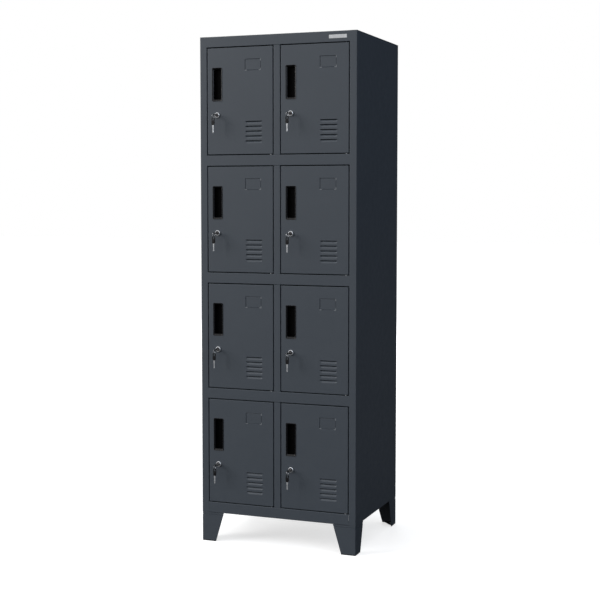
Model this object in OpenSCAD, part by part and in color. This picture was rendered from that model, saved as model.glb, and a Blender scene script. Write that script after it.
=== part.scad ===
// Eight-door steel locker cabinet: two columns of four box lockers on four folded legs.
// Millimetres, +Z up. X runs left to right as seen from the front, and the doors face -Y.
// The origin is under the middle of the whole object, on the floor.

/* [Cabinet] */
// Overall width
cabinet_w = 600; // [560:10:700]
// Overall height, with the legs
cabinet_h = 1850; // [1750:10:1950]
// Depth of the body from door face to back
cabinet_d = 490; // [420:10:550]
// Height of the legs below the body
leg_h = 108; // [100:1:140]
// Sheet thickness of the body and doors
sheet_t = 0.8; // [0.6:0.1:1.0]

/* [Front frame] */
// Width of each outer stile
side_stile_w = 26.5; // [24:0.5:34]
// Width of the centre stile
centre_stile_w = 25; // [24:0.5:34]
// Height of the header and of each cross rail
rail_h = 38; // [34:1:50]
// Height of the base rail
base_rail_h = 39; // [34:1:50]
// Depth of the folded edges around each door opening
return_d = 20; // [19:0.5:21]
// Width of the lip that each lock cam closes behind
latch_lip_w = 8; // [6:0.5:9]
// Open seam between frame pieces that are joined without filler
seam_gap = 0.4; // [0.2:0.1:0.6]

/* [Doors] */
// Gap around each door
door_gap = 3; // [3:0.5:4]
// Depth of the door pan
door_d = 16; // [14:0.5:17]
// Width of the flange folded in at the back of the pan
door_flange_w = 12; // [8:1:14]
// Distance of the hinge pin from the door's right edge
hinge_inset_x = 10; // [9:0.5:12]
// Distance of the hinge pin behind the door's face
hinge_inset_y = 7; // [6:0.5:8]
// Radius of the hinge pin in the door
hinge_pin_r = 2; // [1.8:0.1:2.4]

/* [Door face] */
// Distance of the handle and the lock from the door's left edge
latch_x = 38; // [36:1:42]
// Distance of the handle's middle below the door's top edge
handle_drop = 130; // [120:1:140]
// Distance of the lock below the door's top edge
lock_drop = 240; // [230:1:260]
// Width of the card panel
label_w = 62.5; // [50:0.5:70]
// Height of the card panel
label_h = 41.5; // [35:0.5:50]
// Distance of the card panel from the door's left edge
label_x = 147; // [140:1:160]
// Distance of the card panel below the door's top edge
label_drop = 42.5; // [30:0.5:50]
// Length of a louvre
louvre_l = 64; // [50:1:70]
// Height of a louvre
louvre_h = 11; // [8:0.5:13]
// Depth that a louvre is pressed in
louvre_d = 4.5; // [3:0.5:6]
// Distance between louvres
louvre_pitch = 17.4; // [15:0.2:20]
// Distance of the first louvre below the door's top edge
louvre_drop = 263; // [258:1:270]

/* [Handle cup] */
// Width of the cup's flange
cup_flange_w = 39; // [36:0.5:42]
// Height of the cup's flange
cup_flange_h = 120; // [110:1:130]
// Width of the finger recess
cup_inner_w = 28; // [24:0.5:29]
// Height of the finger recess
cup_inner_h = 108; // [95:1:108]
// Depth of the finger recess
cup_inner_d = 13.5; // [10:0.5:14]

/* [Lock and keys] */
// Radius of the lock's face ring
lock_face_r = 10; // [9.5:0.1:11]
// Radius of the lock's plug
plug_r = 5.5; // [5.3:0.1:6]
// Length of the cam from the lock's axis
cam_l = 37; // [35:0.5:38]
// Length of a key's bow
bow_l = 27; // [25:0.5:29]
// Width of a key's bow
bow_w = 12; // [11:0.5:19]
// Inner radius of the split ring
ring_inner_r = 7.6; // [7.6:0.1:8]

/* [Legs] */
// Width of a leg's flange at the floor
leg_foot_w = 54; // [48:1:60]
// Width of a leg's flange where it meets the body
leg_top_w = 86; // [76:1:96]
// Sheet thickness of the legs
leg_t = 1.5; // [1.2:0.1:2]

/* [Hidden] */
$fn = 48;
rows = 4;
SIDE_NAMES = ["left", "right"];
CABINET_NODES = [
    "left_side_panel", "right_side_panel", "top_panel", "base_panel", "back_panel",
    "centre_partition", "front_frame", "shelves", "legs", "foot_glides",
    "hinge_pins", "leg_fasteners"
];
DOOR_KINDS = ["door", "handle_cup", "lock_barrel", "lock_cam", "key", "spare_key"];

PAINT = "#4b4f56";
PAINT_SIDE = "#43474e";
BLACK = "#17181a";
CHROME = "#c9ccd0";
STEEL = "#9a9ea3";

half_w = cabinet_w / 2;
opening_w = (cabinet_w - 2 * side_stile_w - centre_stile_w) / 2;
opening_h = (cabinet_h - leg_h - base_rail_h - rows * rail_h) / rows;
row_pitch = opening_h + rail_h;
door_w = opening_w - 2 * door_gap;
door_h = opening_h - 2 * door_gap;
base_top = leg_h + base_rail_h;
roof = cabinet_h - sheet_t;
between_stiles = cabinet_w - 2 * side_stile_w;

// Lock and key, measured out from the door's face
plug_out = 4.9;
plug_head_r = 7;
plug_head_t = 1.5;
run_clearance = 0.05;
body_r = 8;
body_l = 20;
nut_t = 4;
nut_flats = 21;
cam_t = 2;
cam_w = 14;
cam_y = body_l + 2;
cam_screw_r = 4;
cam_screw_t = 2.5;
blade_w = 6;
blade_t = 2;
blade_in = 14;
blade_clearance = 0.15;
neck_l = 5.6;
bow_t = 2.4;
bow_bar = 2.2;
bow_corner_r = 5;
bow_slot_l = 8;
bow_slot_w = 5;
spare_blade_l = 28;
wire = 1.4;
ring_drop = 5.4;
ring_play = 0.2;
bow_end = plug_out + neck_l + bow_l;
bar_y = -(bow_end - bow_bar / 2);
ring_outer_r = ring_inner_r + wire;
spare_top = -ring_drop - ring_inner_r + ring_play + bow_bar;
key_reach = ring_outer_r - bar_y;

// The keys stand out from the doors, so the body sits back by half of their reach
front = (key_reach - cabinet_d) / 2;
back = front + cabinet_d;
inner_back = back - 2 * sheet_t;

flange_w = 20;
shelf_flange = 15;
cup_wall = 1.5;
cup_out = 1.6;
cup_corner_r = 4;
cup_fit = 0.3;
clip_out = 1.4;
clip_l = 8;
label_d = 1.2;
tab_l = 8;
tab_t = 2.4;
tab_out = 0.5;
shoulder_r = 2.8;
shoulder_gap = 0.05;
pin_l = 6;
hinge_clearance = 0.08;
plate_z = 3;
glide_r = 11;
glide_at = 16;
foot_lift = 1;
rivet_r = 2.5;
rivet_head_r = 4.5;
rivet_head_t = 1.2;
step_h = 8;
bolt_r = 3;
bolt_hole_r = 3.3;
bolt_head_flats = 10;
bolt_head_t = 4;
bolt_along = 55;
bolt_across = 11.5;
wall_hole_r = 4;
wall_hole_x = 200;
wall_hole_drop = 80;
BOLTS = [[bolt_along, bolt_across], [bolt_across, bolt_along]];

function node_name(kind, row, side) = str(kind, "_", row, "_", SIDE_NAMES[side]);
function opening_left(side) = side == 0 ? -half_w + side_stile_w : centre_stile_w / 2;
function opening_bottom(row) = cabinet_h - row * row_pitch;
function opening_top(row) = opening_bottom(row) + opening_h;
function hex_r(flats) = flats / 2 / cos(30);
function leg_w_at(z) = leg_foot_w + (leg_top_w - leg_foot_w) * z / leg_h;

// A box between two corners
module block(low, high) {
    translate(low) cube(high - low);
}

module rounded_rect(w, h, r) {
    square([w - 2 * r, h], center = true);
    square([w, h - 2 * r], center = true);
    for (x = [-1, 1]) for (z = [-1, 1])
        translate([x * (w / 2 - r), z * (h / 2 - r)]) circle(r);
}

// Extrudes an outline drawn in X and Z, from depth y0 to depth y1
module through_y(y0, y1) {
    translate([0, y1, 0]) rotate([90, 0, 0]) linear_extrude(y1 - y0) children();
}

// Extrudes an outline drawn in Y and Z along X
module along_x(x0, x1) {
    translate([x0, 0, 0]) rotate([90, 0, 90]) linear_extrude(x1 - x0) children();
}

// A cylinder along Y
module rod_y(r, y0, y1) {
    translate([0, y0, 0]) rotate([-90, 0, 0]) cylinder(r = r, h = y1 - y0);
}

// Places children at a door's lower left corner, in the plane of its face
module at_door(row, side) {
    translate([opening_left(side) + door_gap, front, opening_bottom(row) + door_gap]) children();
}

module at_lock(row, side) {
    at_door(row, side) translate([latch_x, 0, door_h - lock_drop]) children();
}

module at_handle(row, side) {
    at_door(row, side) translate([latch_x, 0, door_h - handle_drop]) children();
}

// Places children at each bottom corner of the body, turned so that +X and +Y point inwards
module at_corners() {
    for (sx = [0, 1]) for (sy = [0, 1])
        translate([sx == 0 ? -half_w : half_w, sy == 0 ? front : back, 0])
            mirror([sx, 0, 0]) mirror([0, sy, 0]) children();
}

// Cabinet body

module side_sheet() {
    block([-half_w, front, leg_h], [-half_w + sheet_t, back, roof]);
    block([-half_w, front, leg_h], [-half_w + side_stile_w, front + sheet_t, roof]);
    block([-half_w + side_stile_w - sheet_t, front, leg_h],
          [-half_w + side_stile_w, front + return_d, roof]);
    block([-half_w, back - sheet_t, leg_h], [-half_w + flange_w, back, roof]);
}

// The lip behind the latch edge of one opening
module latch_lip(row, side) {
    block([opening_left(side) - sheet_t, front + return_d, opening_bottom(row)],
          [opening_left(side) + latch_lip_w, front + return_d + sheet_t, opening_top(row)]);
}

module left_side_panel() {
    color(PAINT_SIDE) {
        side_sheet();
        for (row = [1:rows]) latch_lip(row, 0);
    }
}

module right_side_panel() {
    color(PAINT_SIDE) mirror([1, 0, 0]) side_sheet();
}

module top_panel() {
    header_half = between_stiles / 2;
    color(PAINT) {
        block([-half_w, front, roof], [half_w, back, cabinet_h]);
        block([-header_half, front, cabinet_h - rail_h], [header_half, front + sheet_t, cabinet_h]);
        block([-header_half, front, cabinet_h - rail_h],
              [header_half, front + return_d, cabinet_h - rail_h + sheet_t]);
        for (sx = [0, 1]) mirror([sx, 0, 0])
            block([-half_w + sheet_t, front + return_d, cabinet_h - flange_w],
                  [-half_w + 2 * sheet_t, inner_back, cabinet_h]);
    }
}

module base_panel() {
    rail_half = between_stiles / 2 - seam_gap;
    inner_half = half_w - sheet_t;
    color(PAINT) difference() {
        union() {
            block([-rail_half, front, base_top - sheet_t], [rail_half, front + return_d, base_top]);
            block([-inner_half, front + return_d, base_top - sheet_t], [inner_half, inner_back, base_top]);
            block([-rail_half, front, leg_h], [rail_half, front + sheet_t, base_top]);
            block([-rail_half, front, leg_h], [rail_half, front + return_d, leg_h + sheet_t]);
            block([-inner_half, inner_back - sheet_t, leg_h], [inner_half, inner_back, base_top]);
            block([-inner_half, inner_back - flange_w, leg_h], [inner_half, inner_back, leg_h + sheet_t]);
            for (sx = [0, 1]) mirror([sx, 0, 0]) {
                block([-inner_half, front + return_d, leg_h], [-inner_half + sheet_t, inner_back, base_top]);
                block([-inner_half, front + return_d, leg_h],
                      [-inner_half + flange_w, inner_back, leg_h + sheet_t]);
            }
        }
        at_corners() for (at = BOLTS)
            translate([at[0], at[1], leg_h - 1]) cylinder(r = bolt_hole_r, h = sheet_t + 2);
    }
}

module back_panel() {
    color(PAINT_SIDE) difference() {
        block([-half_w + sheet_t, inner_back, leg_h], [half_w - sheet_t, back - sheet_t, roof]);
        for (x = [-wall_hole_x, wall_hole_x])
            translate([x, inner_back - 1, cabinet_h - wall_hole_drop])
                rod_y(wall_hole_r, 0, sheet_t + 2);
    }
}

// The partition reaches forward into the hollow centre stile between the rails
module centre_partition() {
    color(PAINT) {
        block([-sheet_t / 2, front + return_d, base_top], [sheet_t / 2, inner_back, roof]);
        for (row = [1:rows])
            block([-sheet_t / 2, front + sheet_t, opening_bottom(row)],
                  [sheet_t / 2, front + return_d, opening_top(row)]);
    }
}

module cross_rail(rail_top) {
    rail_half = between_stiles / 2;
    for (z = [rail_top - rail_h, rail_top - sheet_t])
        block([-rail_half, front, z], [rail_half, front + return_d, z + sheet_t]);
    block([-rail_half, front, rail_top - rail_h], [rail_half, front + sheet_t, rail_top]);
}

module centre_stile(row) {
    stile_half = centre_stile_w / 2;
    low = opening_bottom(row) + seam_gap;
    high = opening_top(row) - seam_gap;
    block([-stile_half, front, low], [stile_half, front + sheet_t, high]);
    for (x = [-stile_half, stile_half - sheet_t])
        block([x, front, low], [x + sheet_t, front + return_d, high]);
    intersection() {
        latch_lip(row, 1);
        block([-half_w, front, low], [half_w, back, high]);
    }
}

module front_frame() {
    color(PAINT) {
        for (row = [1:rows - 1]) cross_rail(opening_bottom(row));
        for (row = [1:rows]) centre_stile(row);
    }
}

module shelf(row, side) {
    left = side == 0 ? -half_w + sheet_t : sheet_t / 2;
    right = side == 0 ? -sheet_t / 2 : half_w - sheet_t;
    near = front + return_d;
    top = opening_bottom(row);
    block([left, near, top - sheet_t], [right, inner_back, top]);
    for (x = [left, right - sheet_t])
        block([x, near, top - shelf_flange], [x + sheet_t, inner_back, top]);
    for (y = [near, inner_back - sheet_t])
        block([left, y, top - shelf_flange], [right, y + sheet_t, top]);
}

module shelves() {
    color(PAINT) for (row = [1:rows - 1]) for (side = [0, 1]) shelf(row, side);
}

// Legs

// One flange of a leg in X and Z: the tapered plate, and the step set back under the body
module leg_flange() {
    shoulder = leg_h - step_h;
    through_y(0, leg_t)
        polygon([[0, foot_lift], [leg_foot_w, foot_lift], [leg_w_at(shoulder), shoulder], [0, shoulder]]);
    through_y(leg_t, 2 * leg_t)
        polygon([[leg_t, shoulder - leg_t], [leg_w_at(shoulder) - leg_t, shoulder - leg_t],
                 [leg_top_w, leg_h], [leg_t, leg_h]]);
}

module leg() {
    difference() {
        union() {
            leg_flange();
            mirror([1, -1, 0]) leg_flange();
            translate([0, 0, leg_h - leg_t]) linear_extrude(leg_t)
                polygon([[leg_t, leg_t], [leg_top_w, leg_t], [leg_top_w, flange_w],
                         [flange_w, leg_top_w], [leg_t, leg_top_w]]);
            translate([0, 0, plate_z]) linear_extrude(leg_t)
                polygon([[0, 0], [leg_foot_w - foot_lift, 0], [0, leg_foot_w - foot_lift]]);
        }
        for (at = BOLTS)
            translate([at[0], at[1], leg_h - leg_t - 1]) cylinder(r = bolt_hole_r, h = leg_t + 2);
        translate([glide_at, glide_at, plate_z - 1])
            cylinder(r = rivet_r + run_clearance, h = leg_t + 2);
    }
}

module legs() {
    color(PAINT) at_corners() leg();
}

module glide() {
    difference() {
        cylinder(r = glide_r, h = plate_z);
        translate([0, 0, -1]) cylinder(r = rivet_r + run_clearance, h = plate_z + 2);
        translate([0, 0, -1]) cylinder(r = rivet_head_r + cup_fit, h = 1 + 2 * foot_lift);
    }
}

module foot_glides() {
    color(BLACK) at_corners() translate([glide_at, glide_at, 0]) glide();
}

module glide_rivet() {
    head_z = 2 * foot_lift - rivet_head_t;
    translate([0, 0, head_z]) cylinder(r = rivet_head_r, h = rivet_head_t);
    translate([0, 0, head_z]) cylinder(r = rivet_r, h = plate_z + leg_t - head_z);
    translate([0, 0, plate_z + leg_t]) cylinder(r = rivet_head_r, h = rivet_head_t);
}

module leg_bolt() {
    head_r = hex_r(bolt_head_flats);
    head_z = leg_h - leg_t - bolt_head_t;
    nut_z = leg_h + sheet_t;
    translate([0, 0, head_z]) cylinder(r = head_r, h = bolt_head_t, $fn = 6);
    translate([0, 0, head_z]) cylinder(r = bolt_r, h = nut_z + 2 * bolt_head_t - head_z);
    difference() {
        translate([0, 0, nut_z]) cylinder(r = head_r, h = bolt_head_t, $fn = 6);
        translate([0, 0, nut_z - 1]) cylinder(r = bolt_r + run_clearance, h = bolt_head_t + 2);
    }
}

module leg_fasteners() {
    color(STEEL) at_corners() {
        for (at = BOLTS) translate([at[0], at[1], 0]) leg_bolt();
        translate([glide_at, glide_at, 0]) glide_rivet();
    }
}

// Hinges

// A pin welded to the frame: its shoulder fills the gap, and its thinner end enters the door
module hinge_pin() {
    cylinder(r = shoulder_r, h = door_gap - shoulder_gap);
    cylinder(r = hinge_pin_r, h = door_gap + sheet_t + pin_l);
}

module hinge_pins() {
    color(CHROME) for (row = [1:rows]) for (side = [0, 1]) {
        x = opening_left(side) + door_gap + door_w - hinge_inset_x;
        translate([x, front + hinge_inset_y, opening_bottom(row)]) hinge_pin();
        translate([x, front + hinge_inset_y, opening_top(row)]) mirror([0, 0, 1]) hinge_pin();
    }
}

// Doors

// A louvre hangs from its slit: open along the top edge and closed at the bottom and the ends
module louvre() {
    along_x(0, louvre_l)
        polygon([[0, -louvre_h], [sheet_t, -louvre_h], [louvre_d + sheet_t, 0], [louvre_d, 0]]);
    for (x = [0, louvre_l - sheet_t])
        along_x(x, x + sheet_t)
            polygon([[0, -louvre_h], [louvre_d + sheet_t, 0], [0, 0]]);
}

module at_louvres() {
    for (i = [0:4]) translate([label_x + 2, 0, door_h - louvre_drop - i * louvre_pitch]) children();
}

// The shallow pressed panel for a name card
module card_panel() {
    translate([label_x, 0, door_h - label_drop - label_h]) difference() {
        through_y(0, label_d + sheet_t) square([label_w, label_h]);
        through_y(-1, label_d) translate([sheet_t, sheet_t])
            square([label_w - 2 * sheet_t, label_h - 2 * sheet_t]);
    }
}

// A corner tab that holds the card: a strip along each edge of its corner of the panel
module card_tab(w, h) {
    through_y(-tab_out, label_d) square([w, h]);
}

// Tabs at the panel's lower left, lower right and upper right corners
module card_tabs() {
    right = label_w - tab_t;
    translate([label_x, 0, door_h - label_drop - label_h]) {
        card_tab(tab_l, tab_t);
        translate([label_w - tab_l, 0, 0]) card_tab(tab_l, tab_t);
        translate([right, 0, 0]) card_tab(tab_t, tab_l);
        translate([right, 0, label_h - tab_l]) card_tab(tab_t, tab_l);
    }
}

module door() {
    flange_in = sheet_t + door_flange_w;
    color(PAINT) difference() {
        union() {
            difference() {
                cube([door_w, door_d, door_h]);
                translate([sheet_t, sheet_t, sheet_t])
                    cube([door_w - 2 * sheet_t, door_d - 2 * sheet_t, door_h - 2 * sheet_t]);
                translate([flange_in, sheet_t, flange_in])
                    cube([door_w - 2 * flange_in, door_d, door_h - 2 * flange_in]);
                at_louvres() translate([0, -1, -louvre_h]) cube([louvre_l, sheet_t + 2, louvre_h]);
                translate([label_x, -1, door_h - label_drop - label_h])
                    cube([label_w, sheet_t + 2, label_h]);
            }
            at_louvres() louvre();
            card_panel();
            card_tabs();
        }
        translate([latch_x, 0, door_h - handle_drop]) through_y(-1, sheet_t + 1)
            square([cup_inner_w + 2 * (cup_wall + cup_fit), cup_inner_h + 2 * (cup_wall + cup_fit)],
                   center = true);
        translate([latch_x, 0, door_h - lock_drop]) rod_y(body_r + cup_fit, -1, sheet_t + 1);
        translate([door_w - hinge_inset_x, hinge_inset_y, -1])
            cylinder(r = hinge_pin_r + hinge_clearance, h = door_h + 2);
    }
}

module handle_cup() {
    outer_w = cup_inner_w + 2 * cup_wall;
    outer_h = cup_inner_h + 2 * cup_wall;
    color(BLACK) {
        difference() {
            union() {
                through_y(-cup_out, 0) rounded_rect(cup_flange_w, cup_flange_h, cup_corner_r);
                through_y(0, cup_inner_d + cup_wall) square([outer_w, outer_h], center = true);
            }
            through_y(-cup_out - 1, cup_inner_d) rounded_rect(cup_inner_w, cup_inner_h, cup_wall);
        }
        for (x = [-outer_w / 2 - clip_out, outer_w / 2]) for (z = [-outer_h / 4, outer_h / 4])
            block([x, sheet_t, z - clip_l / 2], [x + clip_out, sheet_t + 2 * clip_out, z + clip_l / 2]);
    }
}

// Locks and keys, about the lock's axis with the door's face at y = 0

module lock_barrel() {
    bore_r = plug_r + run_clearance;
    ring_out = plug_out - 0.3;
    color(CHROME) {
        difference() {
            union() {
                rotate([-90, 0, 0]) rotate_extrude()
                    polygon([[bore_r, 0], [lock_face_r, 0], [lock_face_r, -ring_out + 1.6],
                             [lock_face_r - 1.2, -ring_out], [bore_r, -ring_out]]);
                rod_y(body_r, 0, body_l);
            }
            rod_y(bore_r, -plug_out - 1, body_l + 1);
            rod_y(plug_head_r + run_clearance, -plug_out - 1, -plug_out + plug_head_t + run_clearance);
        }
        difference() {
            translate([0, sheet_t, 0]) rotate([-90, 0, 0])
                cylinder(r = hex_r(nut_flats), h = nut_t, $fn = 6);
            rod_y(body_r + run_clearance, 0, body_l);
        }
    }
}

// At rest the cam hangs down, unlocked. A quarter turn about +Y puts it behind the latch lip.
module lock_cam() {
    color(STEEL) difference() {
        union() {
            rod_y(plug_head_r, -plug_out, -plug_out + plug_head_t);
            rod_y(plug_r, -plug_out, cam_y);
            through_y(cam_y, cam_y + cam_t) {
                circle(r = cam_w / 2);
                translate([0, -cam_l + cam_w / 2]) circle(r = cam_w / 2);
                translate([-cam_w / 2, -cam_l + cam_w / 2]) square([cam_w, cam_l - cam_w / 2]);
            }
            rod_y(cam_screw_r, cam_y + cam_t, cam_y + cam_t + cam_screw_t);
        }
        block([-blade_w / 2 - blade_clearance, -plug_out - 1, -blade_t / 2 - blade_clearance],
              [blade_w / 2 + blade_clearance, blade_in + 1, blade_t / 2 + blade_clearance]);
    }
}

// A bow's outline: its ring end at the origin, its shank towards -Y
module bow_outline() {
    difference() {
        translate([0, -bow_l / 2]) rounded_rect(bow_w, bow_l, bow_corner_r);
        translate([-bow_slot_w / 2, -bow_bar - bow_slot_l]) square([bow_slot_w, bow_slot_l]);
    }
}

module key() {
    tip = blade_w / 4;
    color(BLACK) translate([0, -bow_end, -bow_t / 2]) linear_extrude(bow_t)
        mirror([0, 1]) bow_outline();
    color(CHROME) translate([0, 0, -blade_t / 2]) linear_extrude(blade_t)
        polygon([[-blade_w / 2, -bow_end + bow_l - 1], [blade_w / 2, -bow_end + bow_l - 1],
                 [blade_w / 2, blade_in - tip], [blade_w / 4, blade_in],
                 [-blade_w / 4, blade_in], [-blade_w / 2, blade_in - tip]]);
}

// The split ring hangs from the bar of the key's bow, and the spare key hangs from the ring
module spare_key() {
    tip = blade_w / 4;
    color(CHROME) translate([0, bar_y, -ring_drop]) rotate([0, 90, 0])
        rotate_extrude() translate([ring_inner_r, -wire / 2]) square(wire);
    translate([0, bar_y, spare_top]) {
        color(BLACK) through_y(-bow_t / 2, bow_t / 2) bow_outline();
        color(CHROME) through_y(-blade_t / 2, blade_t / 2)
            polygon([[-blade_w / 2, -bow_l + 1], [-blade_w / 2, -bow_l - spare_blade_l + tip],
                     [-blade_w / 4, -bow_l - spare_blade_l], [blade_w / 4, -bow_l - spare_blade_l],
                     [blade_w / 2, -bow_l - spare_blade_l + tip], [blade_w / 2, -bow_l + 1]]);
    }
}

left_side_panel();
right_side_panel();
top_panel();
base_panel();
back_panel();
centre_partition();
front_frame();
shelves();
legs();
foot_glides();
hinge_pins();
leg_fasteners();
for (row = [1:rows]) for (side = [0, 1]) {
    at_door(row, side) door();
    at_handle(row, side) handle_cup();
    at_lock(row, side) lock_barrel();
    at_lock(row, side) lock_cam();
    at_lock(row, side) key();
    at_lock(row, side) spare_key();
}
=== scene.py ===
"""Looks of the eight-door locker cabinet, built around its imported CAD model.

Lengths are in millimetres until a mesh is finished, and then in metres, in the row frame.
X runs left to right as seen from the front, the doors face -Y, and Z is up.
"""

import math

import bmesh
import bpy
from mathutils import Matrix, Vector
from mathutils.geometry import tessellate_polygon


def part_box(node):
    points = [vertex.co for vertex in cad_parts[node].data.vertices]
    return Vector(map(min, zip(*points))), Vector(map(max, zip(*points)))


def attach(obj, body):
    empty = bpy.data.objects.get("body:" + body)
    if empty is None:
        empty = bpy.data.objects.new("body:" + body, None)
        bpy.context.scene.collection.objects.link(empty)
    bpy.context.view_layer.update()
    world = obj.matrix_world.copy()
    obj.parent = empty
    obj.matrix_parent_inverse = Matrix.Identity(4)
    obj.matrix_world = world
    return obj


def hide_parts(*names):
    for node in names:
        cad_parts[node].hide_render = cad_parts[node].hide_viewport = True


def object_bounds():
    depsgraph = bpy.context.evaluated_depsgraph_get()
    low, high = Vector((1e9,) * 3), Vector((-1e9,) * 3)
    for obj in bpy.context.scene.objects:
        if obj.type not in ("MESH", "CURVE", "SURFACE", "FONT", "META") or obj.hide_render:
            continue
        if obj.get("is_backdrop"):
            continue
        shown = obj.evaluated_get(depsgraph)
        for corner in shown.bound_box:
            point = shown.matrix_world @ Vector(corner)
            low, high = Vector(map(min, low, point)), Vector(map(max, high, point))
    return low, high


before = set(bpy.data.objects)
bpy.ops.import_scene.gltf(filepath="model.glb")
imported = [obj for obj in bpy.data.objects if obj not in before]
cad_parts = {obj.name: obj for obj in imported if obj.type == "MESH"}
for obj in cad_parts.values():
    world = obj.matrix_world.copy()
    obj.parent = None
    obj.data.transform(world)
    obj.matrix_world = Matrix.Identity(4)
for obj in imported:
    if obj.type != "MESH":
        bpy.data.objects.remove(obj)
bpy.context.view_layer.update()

MM = 0.001
ROWS = (1, 2, 3, 4)
SIDES = ("left", "right")
TAGS = [f"{row}_{side}" for row in ROWS for side in SIDES]


def node_box(node):
    """The lowest and highest corner of a CAD node, in millimetres."""
    low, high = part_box(node)
    return low / MM, high / MM


# Sheet metal
SHEET = 0.8
FOLD = 1.6
FOLD_STEPS = 4
SHARP_ANGLE = math.radians(30)

# Body, from the frame
side_low, side_high = node_box("left_side_panel")
roof_low, roof_high = node_box("top_panel")
frame_low, _ = node_box("front_frame")
_, base_high = node_box("base_panel")
HALF_W = -side_low.x
FRONT = frame_low.y
BACK = side_high.y
INNER_BACK = BACK - 2 * SHEET
LEG_TOP = side_low.z
ROOF = roof_high.z
HEADER_BOTTOM = roof_low.z
BASE_TOP = base_high.z
DOOR_GAP = 3.0
RETURN_D = 20.0
FLANGE_W = 20.0
LIP_W = 8.0
SEAM = 0.4

door_low, door_high = node_box("door_1_left")
right_door_low, _ = node_box("door_1_right")
DOOR_W = door_high.x - door_low.x
DOOR_H = door_high.z - door_low.z
DOOR_D = door_high.y - FRONT
STILE_X = door_low.x - DOOR_GAP
CENTRE_HALF = right_door_low.x - DOOR_GAP
OPENINGS = []
for row in ROWS:
    low, high = node_box(f"door_{row}_left")
    OPENINGS.append((low.z - DOOR_GAP, high.z + DOOR_GAP))


def relative(node):
    """The box of one of the first door's nodes, measured from that door's lower left corner."""
    corner = Vector((door_low.x, FRONT, door_low.z))
    low, high = node_box(node)
    return low - corner, high - corner


cup_low, cup_high = relative("handle_cup_1_left")
cam_low, cam_high = relative("lock_cam_1_left")
key_low, key_high = relative("key_1_left")
spare_low, spare_high = relative("spare_key_1_left")
CUP_X = (cup_low.x + cup_high.x) / 2
CUP_Z = (cup_low.z + cup_high.z) / 2
LOCK_X = (key_low.x + key_high.x) / 2
LOCK_Z = (key_low.z + key_high.z) / 2

# Door
DOOR_FLANGE = 12.0
HINGE_X = DOOR_W - 10.0
HINGE_Y = 7.0
HINGE_HOLE_R = 2.1
LOCK_HOLE_R = 8.3
PIN_R, PIN_SHOULDER_R, PIN_L = 2.0, 2.8, 6.0
CARD_W, CARD_H, CARD_D = 62.5, 41.5, 1.2
CARD_X = 147.0
CARD_TOP = DOOR_H - 42.5
CARD_CORNER_R = 1.5
# The groove round the card plate, as (inset, depth) steps
CARD_GROOVE = ((0, 0), (0.2, 0.1), (0.8, 1.9), (1.2, 2.1), (1.6, 1.9), (2.4, 1.3), (2.9, CARD_D))
TAB_L, TAB_T, TAB_OUT = 8.0, 2.4, 0.5
LOUVRE_L, LOUVRE_H, LOUVRE_D = 64.0, 11.0, 4.5
LOUVRE_SLIT = 2.3
LOUVRE_X = CARD_X + 2.0
LOUVRE_TOP = DOOR_H - 263.0
LOUVRE_PITCH = 17.4
LOUVRES = 5
LOUVRE_END = 6.0

# Handle cup. Each outline is half its width, half its height and its corner radius
CUP_HOLE = (15.8, 55.8, 2.0)
CUP_RECESS = (14.0, 54.0, 2.5)
CUP_WALL = (15.5, 55.5, 2.0)
CUP_CORNER_R = 4.0
CUP_EDGE = 0.6
CUP_LIP_Y = 2.0
CUP_SLOPE = ((0.6, 0.0, 3.6), (1.2, 0.1, 3.4), (2.2, 0.5, 3.1), (3.2, 1.2, 2.9), (4.2, 2.1, 2.7))
CUP_BACK_T = 2.5
CUP_BACK_CHAMFER = 1.5
HOOK_Z, HOOK_HALF_L, HOOK_OUT, HOOK_L = 26.0, 4.0, 1.1, 2.6

# Lock and keys. The keyway and the bow's slot are half widths, half heights and corner radii
BEZEL_R, BEZEL_OUT = 10.0, 4.6
PLUG_HEAD_R, PLUG_OUT, PLUG_HEAD_T = 7.0, 4.9, 1.5
PLUG_R = 5.5
BARREL_R, BARREL_L = 8.0, 20.0
RUN_GAP = 0.05
SEAT_GAP = 0.1
THREAD_PITCH, THREAD_DEPTH = 1.25, 0.35
NUT_FLATS, NUT_T = 21.0, 4.0
CAM_W, CAM_T = 14.0, 2.0
SCREW_R = 4.0
SCREW_PROUD = 0.2
KEYWAY = (2.75, 1.15, 0.4)
KEYWAY_D = 16.0
BOW_W, BOW_L, BOW_T, BOW_R = 12.0, 27.0, 2.4, 5.0
BOW_BAR = 2.2
BOW_SLOT = (2.5, 4.0, 1.2)
BLADE_W, BLADE_T = 5.2, 2.0
GROOVE_W, GROOVE_D = 1.8, 0.35
CUT_START, TIP_L = 7.2, 10.0
CUTS = (0.0, 0.6, 0.2, 0.8, 0.4, 0.9, 0.2)
BLADE_TIP = ((1.6, 0.6), (0.5, 1.5), (0.0, 2.2))
PAD_HALF_W, PAD_HALF_L, PAD_R, PAD_AT = 3.8, 4.6, 1.6, 17.6
SPARE_BLADE_L = 28.0
WIRE_R = 0.35
RING_R = 8.3

# Legs
LEG_T = 1.5
LEG_FOLD = 2.5
LEG_FOOT_W, LEG_TOP_W = 54.0, 86.0
LEG_STEP = 8.0
CAP_H, CAP_T = 3.2, 2.2
FOOT_PLATE_Z = 3.0
# The leg's groove, as (height from the step, inset) points
LEG_GROOVE = ((-1.5, 0.0), (-1.1, 1.4), (0.5, 1.4), (0.9, 0.3))
LEG_TOP_GAP, LEG_TOP_INSET = 0.5, 0.3

# Blank plate on the header
BADGE_W, BADGE_H, BADGE_T = 66.0, 13.0, 0.5
BADGE_FROM_STILE = 11.0
BADGE_EDGE, BADGE_R = 0.4, 2.0


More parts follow.
